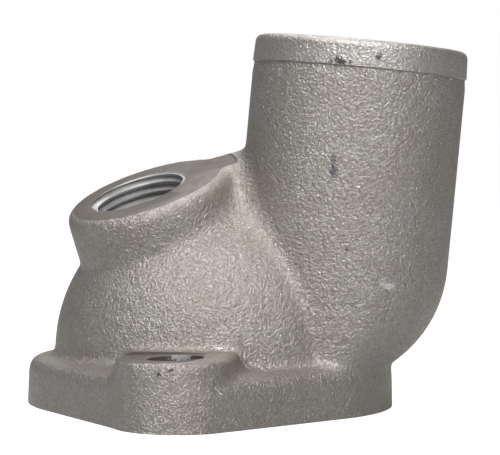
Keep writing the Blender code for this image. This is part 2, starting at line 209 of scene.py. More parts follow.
# Camera, fitted to the photograph
CAMERA_AZIMUTH = math.radians(7.754)
CAMERA_PITCH = math.radians(1.969)
CAMERA_ROLL = math.radians(0.751)
CAMERA_DISTANCE = 449.55 * MM
CAMERA_HEIGHT = 52.614 * MM
CAMERA_SHIFT_RIGHT = 7.965 * MM
FOCAL_LENGTH_PIXELS = 2118.594
PHOTO_WIDTH_PIXELS = 500
SENSOR_WIDTH = 36.0

# Floor
FLOOR_SIZE = 4.0
FLOOR_WHITENING = 0.2
FLOOR_GLOW = 4.6
FLOOR_MARGIN = 2.0 * MM
FLOOR_TONE = (0.48, 0.48, 0.48, 1)

# Studio
LIGHT_DISTANCE = 0.9
FILL_STRENGTH = 0.2

# Each light's name, bearing to the camera's right and height in degrees, size and power
STUDIO_LIGHTS = [
    ("key", 8, 43, 0.45, 5.8),
    ("left_fill", -60, 65, 0.5, 2.6),
    ("back_light", 180, 55, 0.6, 2.5),
]


# Helpers for meshes

def object_from(bm, name):
    """Close a bmesh into a named object with its faces pointing out."""
    bmesh.ops.recalc_face_normals(bm, faces=bm.faces)
    mesh = bpy.data.meshes.new(name)
    bm.to_mesh(mesh)
    bm.free()
    obj = bpy.data.objects.new(name, mesh)
    bpy.context.scene.collection.objects.link(obj)
    return obj


def apply_modifiers(obj):
    """Replace an object's mesh with what its modifiers make of it."""
    depsgraph = bpy.context.evaluated_depsgraph_get()
    mesh = bpy.data.meshes.new_from_object(obj.evaluated_get(depsgraph))
    obj.modifiers.clear()
    obj.data = mesh


def add_disc(bm, radius_low, radius_high, low, high, placement=IDENTITY):
    """Straight or tapered round block between two heights of a placement's own Z axis."""
    middle = placement @ Matrix.Translation((0, 0, (low + high) / 2))
    bmesh.ops.create_cone(bm, cap_ends=True, segments=ROUND_SEGMENTS, radius1=radius_low,
                          radius2=radius_high, depth=high - low, matrix=middle)


def add_ball(bm, radius, centre):
    bmesh.ops.create_uvsphere(bm, u_segments=BALL_SEGMENTS, v_segments=BALL_SEGMENTS // 2,
                              radius=radius, matrix=Matrix.Translation(centre))


def wrap(bm):
    """Keep only the convex skin round everything in the bmesh."""
    bmesh.ops.delete(bm, geom=bm.edges[:], context="EDGES_FACES")
    bmesh.ops.convex_hull(bm, input=bm.verts)
    inside = [vert for vert in bm.verts if not vert.link_faces]
    bmesh.ops.delete(bm, geom=inside, context="VERTS")
    bmesh.ops.dissolve_limit(bm, angle_limit=math.radians(0.3), verts=bm.verts, edges=bm.edges)


def round_top_edge(bm, height, radius):
    """Round the outline of the flat face that lies at a height."""
    tolerance = 0.01 * MM
    top = [edge for edge in bm.edges
           if all(abs(vert.co.z - height) < tolerance for vert in edge.verts)]
    bmesh.ops.bevel(bm, geom=top, offset=radius, offset_type="OFFSET", segments=6, profile=0.5,
                    affect="EDGES", material=-1)


def turned(name, profile, placement=IDENTITY):
    """Turned shape from a profile of (radius, height) that closes on the axis or on itself."""
    bm = bmesh.new()
    verts = [bm.verts.new((radius, 0.0, height)) for radius, height in profile]
    edges = [bm.edges.new(pair) for pair in zip(verts, verts[1:])]
    bmesh.ops.spin(bm, geom=verts + edges, cent=(0, 0, 0), axis=(0, 0, 1),
                   angle=math.tau, steps=ROUND_SEGMENTS, use_merge=True)
    bmesh.ops.remove_doubles(bm, verts=bm.verts, dist=0.001 * MM)
    bm.transform(placement)
    return object_from(bm, name)


def arc(centre, radius, start, end, steps):
    """Points of a profile's arc, with angles in degrees from the radius direction."""
    angles = [math.radians(start + (end - start) * i / steps) for i in range(steps + 1)]
    return [(centre[0] + radius * math.cos(a), centre[1] + radius * math.sin(a)) for a in angles]


# Places

def neck_placement():
    """Frame whose Z axis runs up the neck and whose origin is the centre of its rim."""
    rim = Vector((NECK_AXIS_AT_BASE + NECK_RIM_HEIGHT * math.tan(NECK_LEAN), 0, NECK_RIM_HEIGHT))
    return Matrix.Translation(rim) @ Matrix.Rotation(NECK_LEAN, 4, "Y")


def port_placement():
    """Frame whose Z axis leaves the port and whose origin is the centre of the hole's mouth."""
    tilt = Matrix.Rotation(PORT_TILT, 4, "Y")
    heading = Matrix.Rotation(PORT_HEADING, 4, "Z")
    return Matrix.Translation(PORT_CENTRE) @ heading @ tilt


def pad_placement(centre):
    """Frame of one bolt pad, machined in a jig that stood a little off square."""
    lean = Matrix.Rotation(-DRILLING_LEAN, 4, "Y")
    return Matrix.Translation(centre + Vector((0, 0, PAD_HEIGHT))) @ lean


def bolt_centres():
    return [Vector((0, side * BOLT_SPACING / 2, 0)) for side in (-1, 1)]


def elbow_centres():
    """Centres of the ball that sweeps the elbow, from the neck's axis to level."""
    start_x = NECK_AXIS_AT_BASE + ELBOW_HEIGHT * math.tan(NECK_LEAN)
    bend_x = start_x - ELBOW_BEND_RADIUS * math.cos(NECK_LEAN)
    steps = 8
    for i in range(steps + 1):
        angle = -NECK_LEAN * (1 - i / steps) + math.radians(90) * i / steps
        x = bend_x + ELBOW_BEND_RADIUS * math.cos(angle)
        z = ELBOW_HEIGHT - ELBOW_BEND_RADIUS * math.sin(angle)
        yield Vector((x, 0, z))


# Blanks of the casting

def flange_plate():
    """Round flange drawn out to the two bolt lobes, with draft on its sides."""
    bm = bmesh.new()
    slope = math.tan(MOULD_DRAFT)
    outlines = [(Vector((0, 0, 0)), FLANGE_RADIUS)]
    outlines += [(centre, LOBE_RADIUS) for centre in bolt_centres()]
    for centre, radius in outlines:
        add_disc(bm, radius + MACHINING_STOCK * slope, radius - FLANGE_THICKNESS * slope,
                 -MACHINING_STOCK, FLANGE_THICKNESS, Matrix.Translation(centre))
    wrap(bm)
    round_top_edge(bm, FLANGE_THICKNESS, FLANGE_EDGE_ROUND)
    return object_from(bm, "flange_plate")


def bolt_lobe(centre):
    """Raised boss under one bolt head, round outside and straight-sided back to the dome."""
    bm = bmesh.new()
    top = PAD_HEIGHT + FACING_STOCK
    towards_dome = centre * ((DOME_RADIUS - LOBE_RADIUS) / centre.length)
    for place in (centre, towards_dome):
        place = place + Vector((PAD_OFFSET, 0, 0))
        add_disc(bm, LOBE_RADIUS, LOBE_RADIUS - top * math.tan(MOULD_DRAFT), 0, top,
                 Matrix.Translation(place))
    wrap(bm)
    round_top_edge(bm, top, PAD_EDGE_ROUND)
    return object_from(bm, "bolt_lobe")


def dome_blank():
    """Half ball over the thermostat, on a short upright wall."""
    profile = arc((0, DOME_CENTRE_HEIGHT), DOME_RADIUS, 90, 0, 32)
    profile += [(DOME_RADIUS, -MACHINING_STOCK), (0, -MACHINING_STOCK)]
    return turned("dome_blank", profile)


def add_heel_slice(bm, height, reach):
    """Level section of the neck's foot, its outer half squeezed to a reach along X."""
    radius = NECK_DIAMETER / 2
    middle = NECK_AXIS_AT_BASE + height * math.tan(NECK_LEAN)
    squeeze = max(0.0, reach - middle) / radius
    ring = bmesh.ops.create_circle(bm, segments=ROUND_SEGMENTS, radius=radius)["verts"]
    for vert in ring:
        outer_squeeze = squeeze if vert.co.x > 0 else 1.0
        vert.co = (middle + vert.co.x * outer_squeeze, vert.co.y, height)


def neck_blank():
    """Straight tube down to the flange, drawn in round the outer side of the bend."""
    bm = bmesh.new()
    radius = NECK_DIAMETER / 2
    add_disc(bm, radius, radius, -BEAD_BAND, -NECK_RIM_ROUND, neck_placement())
    outer_bend = ELBOW_BEND_RADIUS + radius
    bend_x = NECK_AXIS_AT_BASE + ELBOW_HEIGHT * math.tan(NECK_LEAN) - ELBOW_BEND_RADIUS
    for i in range(HEEL_STEPS + 1):
        angle = math.radians(90) * i / HEEL_STEPS
        height = ELBOW_HEIGHT - outer_bend * math.sin(angle)
        add_heel_slice(bm, height, bend_x + outer_bend * math.cos(angle))
    wrap(bm)
    return object_from(bm, "neck_blank")


def port_boss():
    """Round boss under the slanted port, widening down into the dome."""
    bm = bmesh.new()
    spread = BOSS_DEPTH * math.tan(BOSS_DRAFT)
    add_disc(bm, BOSS_RADIUS + spread, BOSS_RADIUS, -BOSS_DEPTH, FACING_STOCK,
             Matrix.Translation(BOSS_OFFSET))
    round_top_edge(bm, FACING_STOCK, BOSS_EDGE_ROUND)
    bm.transform(port_placement())
    return object_from(bm, "port_boss")


def web_ends():
    """Ends of the web's middle line, on the port's face, inside the boss and the neck's wall."""
    axis = port_placement().to_3x3() @ Vector((0, 0, 1))
    neck_outside = NECK_AXIS_AT_BASE + PORT_CENTRE.z * math.tan(NECK_LEAN) - NECK_DIAMETER / 2
    for x in (PORT_CENTRE.x + BOSS_RADIUS / 2, neck_outside + NECK_WALL):
        away = x - PORT_CENTRE.x
        yield Vector((x, PORT_CENTRE.y + WEB_OFFSET,
                      PORT_CENTRE.z - (axis.x * away + axis.y * WEB_OFFSET) / axis.z))


def boss_web():
    """Web that ties the boss to the neck, level with its face and flared towards the dome."""
    bm = bmesh.new()
    to_port = port_placement().inverted()
    for place in web_ends():
        radius = WEB_THICKNESS / 2
        add_disc(bm, radius, radius, 0, FACING_STOCK, Matrix.Translation(to_port @ place))
        radius += (place.z - WEB_FOOT_HEIGHT) * math.tan(WEB_FLARE)
        foot = Vector((place.x, place.y, WEB_FOOT_HEIGHT))
        add_disc(bm, radius, radius, -WEB_THICKNESS, 0, to_port @ Matrix.Translation(foot))
    wrap(bm)
    round_top_edge(bm, FACING_STOCK, BOSS_EDGE_ROUND / 2)
    bm.transform(port_placement())
    return object_from(bm, "boss_web")


def web_corner(heights):
    """Where the web's front wall leaves the boss, at some heights in the port's frame."""
    to_port = port_placement().inverted()
    edge = to_port @ (next(web_ends()) - Vector((0, WEB_THICKNESS / 2, 0)))
    wall = to_port.to_3x3() @ Vector((0, -math.cos(WEB_FLARE), math.sin(WEB_FLARE)))
    level = math.hypot(wall.x, wall.y)
    rise = (wall.dot(edge - BOSS_OFFSET) - wall.z * heights) / level
    run = np.sqrt(BOSS_RADIUS * BOSS_RADIUS - rise * rise)
    across = BOSS_OFFSET.x + (rise * wall.x - run * wall.y) / level
    return np.stack((across, BOSS_OFFSET.y + (rise * wall.y + run * wall.x) / level), axis=1)


# Skin of the casting

def fused_skin(blanks, name):
    """Fuse overlapping blanks into one closed skin of even cells."""
    bm = bmesh.new()
    for blank in blanks:
        bm.from_mesh(blank.data)
    cast = object_from(bm, name)
    for blank in blanks:
        bpy.data.objects.remove(blank, do_unlink=True)
    remesh = cast.modifiers.new("Fuse", "REMESH")
    remesh.mode = "VOXEL"
    remesh.voxel_size = SKIN_CELL
    apply_modifiers(cast)
    return cast


def vertex_places(mesh):
    """Places of all vertices as rows of an array."""
    places = np.empty(len(mesh.vertices) * 3)
    mesh.vertices.foreach_get("co", places)
    return places.reshape(-1, 3)


def relax(mesh, passes, hollow_radii=None):
    """Draw vertices towards their neighbours: all, or those in hollows that are too tight."""
    places = vertex_places(mesh)
    count = len(places)
    ends = np.empty(len(mesh.edges) * 2, dtype=np.int64)
    mesh.edges.foreach_get("vertices", ends)
    first, second = ends.reshape(-1, 2).T
    valence = np.bincount(ends, minlength=count)
    normals = np.empty(count * 3)
    for _ in range(passes):
        mean = np.empty_like(places)
        for axis in range(3):
            mean[:, axis] = np.bincount(first, places[second, axis], count)
            mean[:, axis] += np.bincount(second, places[first, axis], count)
        pull = mean / valence[:, None] - places
        if hollow_radii is not None:
            mesh.vertices.foreach_get("normal", normals)
            outward = np.einsum("ij,ij->i", pull, normals.reshape(count, 3))
            tight = outward > SKIN_CELL * SKIN_CELL / (4 * hollow_radii)
            pull *= tight[:, None]
        places = places + 0.5 * pull
        mesh.vertices.foreach_set("co", places.ravel())
        mesh.update()


def fillet_radii(places):
    """Fillet at each point of the skin: wide beside the neck, sharp where the web leaves the boss."""
    beside_neck = np.interp(places[:, 0], (-VALLEY_RAMP, VALLEY_RAMP), (0, 1))
    above_foot = np.interp(places[:, 2], (FLANGE_THICKNESS, ELBOW_HEIGHT), (0, 1))
    radii = CAST_FILLET + (VALLEY_FILLET - CAST_FILLET) * beside_neck * above_foot
    in_trough = np.interp(places[:, 2], (ELBOW_HEIGHT, ELBOW_HEIGHT + TROUGH_RAMP), (0, 1))
    radii += (TROUGH_FILLET - radii) * in_trough * beside_neck
    to_port = np.array(port_placement().inverted())
    in_port_frame = places @ to_port[:3, :3].T + to_port[:3, 3]
    near_face = np.interp(in_port_frame[:, 2], (-SADDLE_RAMP, 0), (0, 1))
    web_middle = PORT_CENTRE.y + WEB_OFFSET
    behind_web = np.interp(places[:, 1], (web_middle - WEB_THICKNESS / 2, web_middle), (0, 1))
    radii += (SADDLE_FILLET - radii) * near_face * beside_neck * behind_web
    corner = web_corner(np.clip(in_port_frame[:, 2], -BOSS_DEPTH / 2, 0))
    from_corner = np.linalg.norm(in_port_frame[:, :2] - corner, axis=1)
    away = np.interp(from_corner, (WEB_CORNER_RAMP / 2, WEB_CORNER_RAMP), (0, 1))
    return WEB_CORNER_FILLET + (radii - WEB_CORNER_FILLET) * away


def cast_fillets(cast):
    """Smooth the fused skin and give its inner corners the mould's fillets."""
    relax(cast.data, EVEN_PASSES)
    relax(cast.data, FILLET_PASSES, hollow_radii=fillet_radii(vertex_places(cast.data)))
    relax(cast.data, EVEN_PASSES)


# Cuts, each with the finish that its tool leaves

def neck_rim():
    """End of the neck before it is bored: its rounded rim and the low bead that holds the hose."""
    outer = NECK_DIAMETER / 2 + BEAD_RISE
    profile = [(0, 0)]
    profile += arc((outer - BEAD_FLARE - NECK_RIM_ROUND, -NECK_RIM_ROUND), NECK_RIM_ROUND, 90, 0, 8)
    profile += [(outer, -BEAD_BAND), (0, -BEAD_BAND)]
    return turned("neck_rim", profile, neck_placement())


def bead_groove():
    """Shallow ring below the bead: its upper wall is steep and its lower one runs out slowly."""
    neck = NECK_DIAMETER / 2
    proud = neck + 2 * BEAD_RISE
    steep_end = -BEAD_BAND - GROOVE_WALL / 2
    profile = [(proud, -BEAD_BAND + GROOVE_WALL / 2), (neck - GROOVE_DEPTH, steep_end)]
    profile += [(neck, steep_end - GROOVE_RUN_OUT), (proud, steep_end - 2 * GROOVE_RUN_OUT)]
    return turned("bead_groove", profile + profile[:1], neck_placement())


def underside_cutter():
    """Block that faces the underside."""
    bm = bmesh.new()
    reach = BOLT_SPACING + 2 * LOBE_RADIUS + NECK_DIAMETER
    depth = MACHINING_STOCK + CUTTER_OVERRUN
    place = Matrix.Translation((0, 0, -depth / 2)) @ Matrix.Diagonal((reach, reach, depth, 1))
    bmesh.ops.create_cube(bm, size=1.0, matrix=place)
    return object_from(bm, "underside_cutter")


def thermostat_cutter():
    """Seat for the thermostat's flange."""
    seat = THERMOSTAT_RECESS_DIAMETER / 2
    profile = [(0, THERMOSTAT_RECESS_DEPTH), (seat, THERMOSTAT_RECESS_DEPTH)]
    profile += [(seat, -CUTTER_OVERRUN), (0, -CUTTER_OVERRUN)]
    return turned("thermostat_cutter", profile)


def dome_core():
    """Hollow of the dome, as the sand core leaves it."""
    hollow = DOME_RADIUS - DOME_WALL
    profile = arc((0, DOME_CENTRE_HEIGHT), hollow, 90, 0, 32)
    profile += [(hollow, -CUTTER_OVERRUN), (0, -CUTTER_OVERRUN)]
    return turned("dome_core", profile)


def elbow_core():
    """Bend of the passage at the foot of the neck."""
    bm = bmesh.new()
    for centre in elbow_centres():
        add_ball(bm, NECK_DIAMETER / 2 - NECK_WALL, centre)
    wrap(bm)
    return object_from(bm, "elbow_core")


def neck_core():
    """Bore of the straight neck, down to the start of the elbow."""
    bm = bmesh.new()
    bore = NECK_DIAMETER / 2 - NECK_WALL
    add_disc(bm, bore, bore, CUTTER_OVERRUN / 2, CUTTER_OVERRUN, neck_placement())
    add_ball(bm, bore, next(elbow_centres()))
    wrap(bm)
    return object_from(bm, "neck_core")


def mouth_chamfer_cutter():
    """Small bevel round the neck's mouth."""
    bm = bmesh.new()
    bore = NECK_DIAMETER / 2 - NECK_WALL
    add_disc(bm, bore - NECK_BORE_CHAMFER, bore + 2 * NECK_BORE_CHAMFER,
             -2 * NECK_BORE_CHAMFER, NECK_BORE_CHAMFER, neck_placement())
    return object_from(bm, "mouth_chamfer_cutter")


def port_tap():
    """Taper tap: one pitch of its profile after the other, swept up a right-hand helix."""
    bm = bmesh.new()
    crest = THREAD_CREST_DIAMETER / 2
    root = THREAD_ROOT_DIAMETER / 2
    slope_end = (THREAD_PITCH - THREAD_FLAT) / 2
    tooth = [(root, -THREAD_FLAT / 2), (root, THREAD_FLAT / 2), (crest, slope_end),
             (crest, THREAD_PITCH - slope_end)]
    lowest = -(THREAD_TURNS - 3) * THREAD_PITCH
    profile = [(radius, lowest + turn * THREAD_PITCH + height)
               for turn in range(THREAD_TURNS) for radius, height in tooth]
    verts = [bm.verts.new((radius, 0, height)) for radius, height in profile]
    edges = [bm.edges.new(pair) for pair in zip(verts, verts[1:])]
    bmesh.ops.spin(bm, geom=verts + edges, cent=(0, 0, 0), axis=(0, 0, 1), angle=math.tau,
                   steps=ROUND_SEGMENTS, dvec=(0, 0, THREAD_PITCH / ROUND_SEGMENTS))
    bmesh.ops.remove_doubles(bm, verts=bm.verts, dist=0.001 * MM)
    for height, outward in ((lowest + 2 * THREAD_PITCH, -1), (THREAD_PITCH, 1)):
        geom = bm.verts[:] + bm.edges[:] + bm.faces[:]
        bmesh.ops.bisect_plane(bm, geom=geom, dist=0.0001 * MM, plane_co=(0, 0, height),
                               plane_no=(0, 0, outward), clear_outer=True)
        rim = [edge for edge in bm.edges if edge.is_boundary
               and all(abs(vert.co.z - height) < 0.01 * MM for vert in edge.verts)]
        bmesh.ops.edgeloop_fill(bm, edges=rim)
    for vert in bm.verts:
        shrink = 1 + vert.co.z * math.tan(THREAD_TAPER) / crest
        vert.co.xy *= shrink
    bm.transform(port_placement() @ Matrix.Rotation(THREAD_START, 4, "Z"))
    return object_from(bm, "port_tap")


def mouth_bevel_cutter():
    """Small bevel where the thread starts."""
    bm = bmesh.new()
    mouth = MOUTH_DIAMETER / 2
    add_disc(bm, mouth - MOUTH_BEVEL, mouth + MOUTH_BEVEL, -MOUTH_BEVEL, MOUTH_BEVEL, port_placement())
    return object_from(bm, "mouth_bevel_cutter")


def port_face_cutter():
    """Facing tool of the port, whose rounded rim leaves a fillet against the neck."""
    radius = PORT_FACE_DIAMETER / 2
    profile = [(0, 0)]
    profile += arc((radius - FACE_CUTTER_ROUND, FACE_CUTTER_ROUND), FACE_CUTTER_ROUND, -90, 0, 10)
    profile += [(radius, CUTTER_OVERRUN), (0, CUTTER_OVERRUN)]
    return turned("port_face_cutter", profile, port_placement())


def pad_cutter(centre):
    """Block that faces one bolt pad, up to a straight shoulder in front of the dome."""
    bm = bmesh.new()
    length = centre.length + 2 * LOBE_RADIUS - PAD_SHOULDER
    middle = centre.normalized() * (PAD_SHOULDER + length / 2 - centre.length)
    middle.z = CUTTER_OVERRUN / 2
    size = Matrix.Diagonal((4 * LOBE_RADIUS, length, CUTTER_OVERRUN, 1))
    bmesh.ops.create_cube(bm, size=1.0,
                          matrix=pad_placement(centre) @ Matrix.Translation(middle) @ size)
    return object_from(bm, "pad_cutter")


def bolt_drill(centre):
    """Drill for one bolt hole, square to its pad."""
    bm = bmesh.new()
    hole = BOLT_HOLE_DIAMETER / 2
    add_disc(bm, hole, hole, -PAD_HEIGHT - CUTTER_OVERRUN, CUTTER_OVERRUN, pad_placement(centre))
    return object_from(bm, "bolt_drill")


def combine(body, tool, operation):
    """Add or cut one closed shape, and keep the finish that it carries."""
    modifier = body.modifiers.new(tool.name, "BOOLEAN")
    modifier.operation = operation
    modifier.solver = "EXACT"
    modifier.material_mode = "TRANSFER"
    modifier.object = tool
    apply_modifiers(body)
    bpy.data.objects.remove(tool, do_unlink=True)


def merge_slivers(body):
    """Close up the needle-thin faces that the cuts leave where they graze the skin."""
    bm = bmesh.new()
    bm.from_mesh(body.data)
    bmesh.ops.dissolve_degenerate(bm, dist=SLIVER, edges=bm.edges)
    bm.to_mesh(body.data)
    bm.free()


def finish_of(obj, material):
    """Give a whole object one finish."""
    obj.data.materials.clear()
    obj.data.materials.append(material)
    return obj


def casting(cast_skin, bead_skin_painted_light, faced, cored, bright):
    """The whole part, with each face in the finish that its process leaves."""
    blanks = [flange_plate(), dome_blank(), neck_blank(), port_boss(), boss_web()]
    blanks += [bolt_lobe(centre) for centre in bolt_centres()]
    body = fused_skin(blanks, "casting")
    cast_fillets(body)
    finish_of(body, cast_skin)

    # The bead band takes the lighter skin, a painted highlight
    combine(body, finish_of(neck_rim(), bead_skin_painted_light), "UNION")
    combine(body, finish_of(bead_groove(), cast_skin), "DIFFERENCE")
    combine(body, finish_of(underside_cutter(), faced), "DIFFERENCE")
    combine(body, finish_of(port_face_cutter(), faced), "DIFFERENCE")
    combine(body, finish_of(port_tap(), bright), "DIFFERENCE")
    combine(body, finish_of(mouth_bevel_cutter(), bright), "DIFFERENCE")
    for centre in bolt_centres():
        combine(body, finish_of(pad_cutter(centre), faced), "DIFFERENCE")
        combine(body, finish_of(bolt_drill(centre), faced), "DIFFERENCE")
    combine(body, finish_of(dome_core(), cored), "DIFFERENCE")
    combine(body, finish_of(thermostat_cutter(), faced), "DIFFERENCE")
    combine(body, finish_of(elbow_core(), cored), "DIFFERENCE")
    combine(body, finish_of(neck_core(), cored), "DIFFERENCE")
    combine(body, finish_of(mouth_chamfer_cutter(), faced), "DIFFERENCE")
    merge_slivers(body)
    return body


# Node helpers and groups

def new_group(name, inputs, outputs):
    """Node group with named sockets, returned with its input and output nodes."""
    group = bpy.data.node_groups.new(name, "ShaderNodeTree")
    for socket_name, kind, value in inputs:
        socket = group.interface.new_socket(socket_name, in_out="INPUT", socket_type=kind)
        if value is not None:
            socket.default_value = value
    for socket_name, kind in outputs:
        group.interface.new_socket(socket_name, in_out="OUTPUT", socket_type=kind)
    return group, group.nodes.new("NodeGroupInput"), group.nodes.new("NodeGroupOutput")


def noise(tree, vector, scale, detail=2.0, roughness=0.5, distortion=0.0):
    """Soft random pattern."""
    node = tree.nodes.new("ShaderNodeTexNoise")
    node.inputs["Scale"].default_value = scale
    node.inputs["Detail"].default_value = detail
    node.inputs["Roughness"].default_value = roughness
    node.inputs["Distortion"].default_value = distortion
    tree.links.new(vector, node.inputs["Vector"])
    return node.outputs["Fac"]


def cells(tree, vector, scale, feature="F1"):
    """Distance from the nearest of a pattern's scattered points."""
    node = tree.nodes.new("ShaderNodeTexVoronoi")
    node.feature = feature
    node.inputs["Scale"].default_value = scale
    tree.links.new(vector, node.inputs["Vector"])
    return node.outputs["Distance"]


def spread(tree, value, low, high, to_low=0.0, to_high=1.0):
    """Map a range of values to another and clamp it."""
    node = tree.nodes.new("ShaderNodeMapRange")
    node.interpolation_type = "SMOOTHSTEP"
    for name, number in zip(("From Min", "From Max", "To Min", "To Max"),
                            (low, high, to_low, to_high)):
        node.inputs[name].default_value = number
    tree.links.new(value, node.inputs["Value"])
    return node.outputs["Result"]


def plug(tree, socket, value):
    """Link an output into a socket, or set a constant on it."""
    if isinstance(value, (int, float)):
        socket.default_value = value
    else:
        tree.links.new(value, socket)


def maths(tree, operation, first, second=0.0, third=0.0):
    """Number worked out from up to three others."""
    node = tree.nodes.new("ShaderNodeMath")
    node.operation = operation
    for socket, value in zip(node.inputs, (first, second, third)):
        plug(tree, socket, value)
    return node.outputs["Value"]


def blend(tree, factor, first, second):
    """Mix two colours, each an output or a constant."""
    node = tree.nodes.new("ShaderNodeMix")
    node.data_type = "RGBA"
    plug(tree, node.inputs["Factor"], factor)
    for socket, value in ((node.inputs[6], first), (node.inputs[7], second)):
        if isinstance(value, tuple):
            socket.default_value = (*value, 1)
        else:
            tree.links.new(value, socket)
    return node.outputs[2]


def grain_group():
    """Sand-cast grain: fine pebbles over soft lumps, as a height and a mask of the raised tips."""
    group, source, result = new_group(
        "sand_grain",
        [("Position", "NodeSocketVector", None), ("Fineness", "NodeSocketFloat", 1.0)],
        [("Height", "NodeSocketFloat"), ("Tips", "NodeSocketFloat")])
    scaled = group.nodes.new("ShaderNodeVectorMath")
    scaled.operation = "SCALE"
    group.links.new(source.outputs["Position"], scaled.inputs[0])
    group.links.new(source.outputs["Fineness"], scaled.inputs["Scale"])
    place = scaled.outputs["Vector"]
    fine = noise(group, place, 2800, 2.0, 0.65, 0.4)
    pebbles = cells(group, place, 1700, "SMOOTH_F1")
    lumps = noise(group, place, 520, 2.0, 0.5)
    height = maths(group, "MULTIPLY_ADD", pebbles, -0.55, fine)
    group.links.new(spread(group, height, 0.0, 0.6), result.inputs["Tips"])
    height = maths(group, "MULTIPLY_ADD", lumps, 0.9, height)
    group.links.new(height, result.inputs["Height"])
    return group


def soiling_group():
    """Uneven tone of old metal: grey drifting to brown, with small dark specks."""
    group, source, result = new_group(
        "soiling",
        [("Position", "NodeSocketVector", None), ("Clean", "NodeSocketColor", (0.5, 0.5, 0.5, 1)),
         ("Soiled", "NodeSocketColor", (0.4, 0.35, 0.3, 1)), ("Amount", "NodeSocketFloat", 0.5)],
        [("Color", "NodeSocketColor"), ("Soil", "NodeSocketFloat")])
    place = source.outputs["Position"]
    drift = spread(group, noise(group, place, 70, 3.0, 0.6), 0.35, 0.7)
    patches = spread(group, noise(group, place, 380, 4.0, 0.65), 0.4, 0.75)
    soil = maths(group, "MULTIPLY", maths(group, "ADD", drift, patches), source.outputs["Amount"])
    colour = blend(group, soil, source.outputs["Clean"], source.outputs["Soiled"])
    specks = spread(group, cells(group, place, 160), 0.06, 0.03)
    colour = blend(group, maths(group, "MULTIPLY", specks, 0.6), colour, (0.03, 0.03, 0.035))
    group.links.new(colour, result.inputs["Color"])
    group.links.new(soil, result.inputs["Soil"])
    return group


def mark_group():
    """Mask of a small mark along a line between two places, with a ragged edge."""
    group, source, result = new_group(
        "mark",
        [("Position", "NodeSocketVector", None), ("From", "NodeSocketVector", None),
         ("To", "NodeSocketVector", None), ("Radius", "NodeSocketFloat", 0.001),
         ("Strength", "NodeSocketFloat", 1.0)],
        [("Mask", "NodeSocketFloat")])

    def vector_maths(operation, first, second, output="Vector"):
        node = group.nodes.new("ShaderNodeVectorMath")
        node.operation = operation
        group.links.new(first, node.inputs[0])
        group.links.new(second, node.inputs["Scale"] if operation == "SCALE" else node.inputs[1])
        return node.outputs[output]

    start = source.outputs["From"]
    run = vector_maths("SUBTRACT", source.outputs["To"], start)
    away = vector_maths("SUBTRACT", source.outputs["Position"], start)
    along = maths(group, "DIVIDE", vector_maths("DOT_PRODUCT", away, run, "Value"),
                  vector_maths("DOT_PRODUCT", run, run, "Value"))
    on_line = maths(group, "MINIMUM", maths(group, "MAXIMUM", along, 0), 1)
    nearest = vector_maths("SCALE", run, on_line)
    gap = vector_maths("DISTANCE", away, nearest, "Value")
    ragged = noise(group, source.outputs["Position"], 2400)
    ragged = spread(group, ragged, 0.25, 0.75, 0.4, 1.9)
    share = maths(group, "DIVIDE", maths(group, "MULTIPLY", gap, ragged), source.outputs["Radius"])
    faded = maths(group, "MULTIPLY", spread(group, share, 0.4, 1.0, 1.0, 0.0),
                  source.outputs["Strength"])
    group.links.new(faded, result.inputs["Mask"])
    return group


GRAIN = grain_group()
SOILING = soiling_group()
MARK = mark_group()


# Materials

def new_material(name):
    """Material with its node tree, its Principled shader and the part's own coordinates."""
    material = bpy.data.materials.new(name)
    material.use_nodes = True
    tree = material.node_tree
    place = tree.nodes.new("ShaderNodeTexCoord").outputs["Object"]
    return material, tree, tree.nodes["Principled BSDF"], place


def add_group(tree, group, **values):
    """Place a node group and fill its inputs by name."""
    node = tree.nodes.new("ShaderNodeGroup")
    node.node_tree = group
    for name, value in values.items():
        if isinstance(value, tuple):
            node.inputs[name].default_value = (*value, 1)
        else:
            plug(tree, node.inputs[name], value)
    return node.outputs


def bump(tree, height, depth, strength):
    """Normal of a surface raised by a height."""
    node = tree.nodes.new("ShaderNodeBump")
    node.inputs["Distance"].default_value = depth
    node.inputs["Strength"].default_value = strength
    tree.links.new(height, node.inputs["Height"])
    return node.outputs["Normal"]


def marks(tree, place, places):
    """Joined mask of a list of marks."""
    joined = 0.0
    for start, end, radius, strength in places:
        mark = add_group(tree, MARK, Position=place, Radius=radius * MM, Strength=strength)
        node = mark["Mask"].node
        node.inputs["From"].default_value = Vector(start) * MM
        node.inputs["To"].default_value = Vector(end) * MM
        joined = maths(tree, "MAXIMUM", mark["Mask"], joined)
    return joined


def skin_material(name, hollows, tips, depth):
    """Bare sand-cast skin: coarse grain, grey on its tips and browner in its hollows."""
    material, tree, shader, place = new_material(name)
    grain = add_group(tree, GRAIN, Position=place, Fineness=1.0)
    tone = add_group(tree, SOILING, Position=place, Clean=tips, Soiled=CAST_BROWN, Amount=0.4)
    colour = blend(tree, grain["Tips"], hollows, tone["Color"])
    pits = marks(tree, place, PITS)
    colour = blend(tree, marks(tree, place, STAINS), colour, STAIN)
    # Pits darkened nearly to black in colour, besides sinking in the bump
    colour = blend(tree, pits, colour, PIT_DARKENING)
    # Pale rubs and painted highlights, in the colour of bare metal
    colour = blend(tree, marks(tree, place, RUBS_AND_HIGHLIGHTS), colour, BARE_METAL_AND_HIGHLIGHT)
    tree.links.new(colour, shader.inputs["Base Color"])
    shader.inputs["Metallic"].default_value = 0.85
    tree.links.new(spread(tree, grain["Tips"], 0, 1, 0.43, 0.27), shader.inputs["Roughness"])
    height = maths(tree, "MULTIPLY_ADD", pits, -1.6, grain["Height"])
    tree.links.new(bump(tree, height, depth, 1.0), shader.inputs["Normal"])
    return material


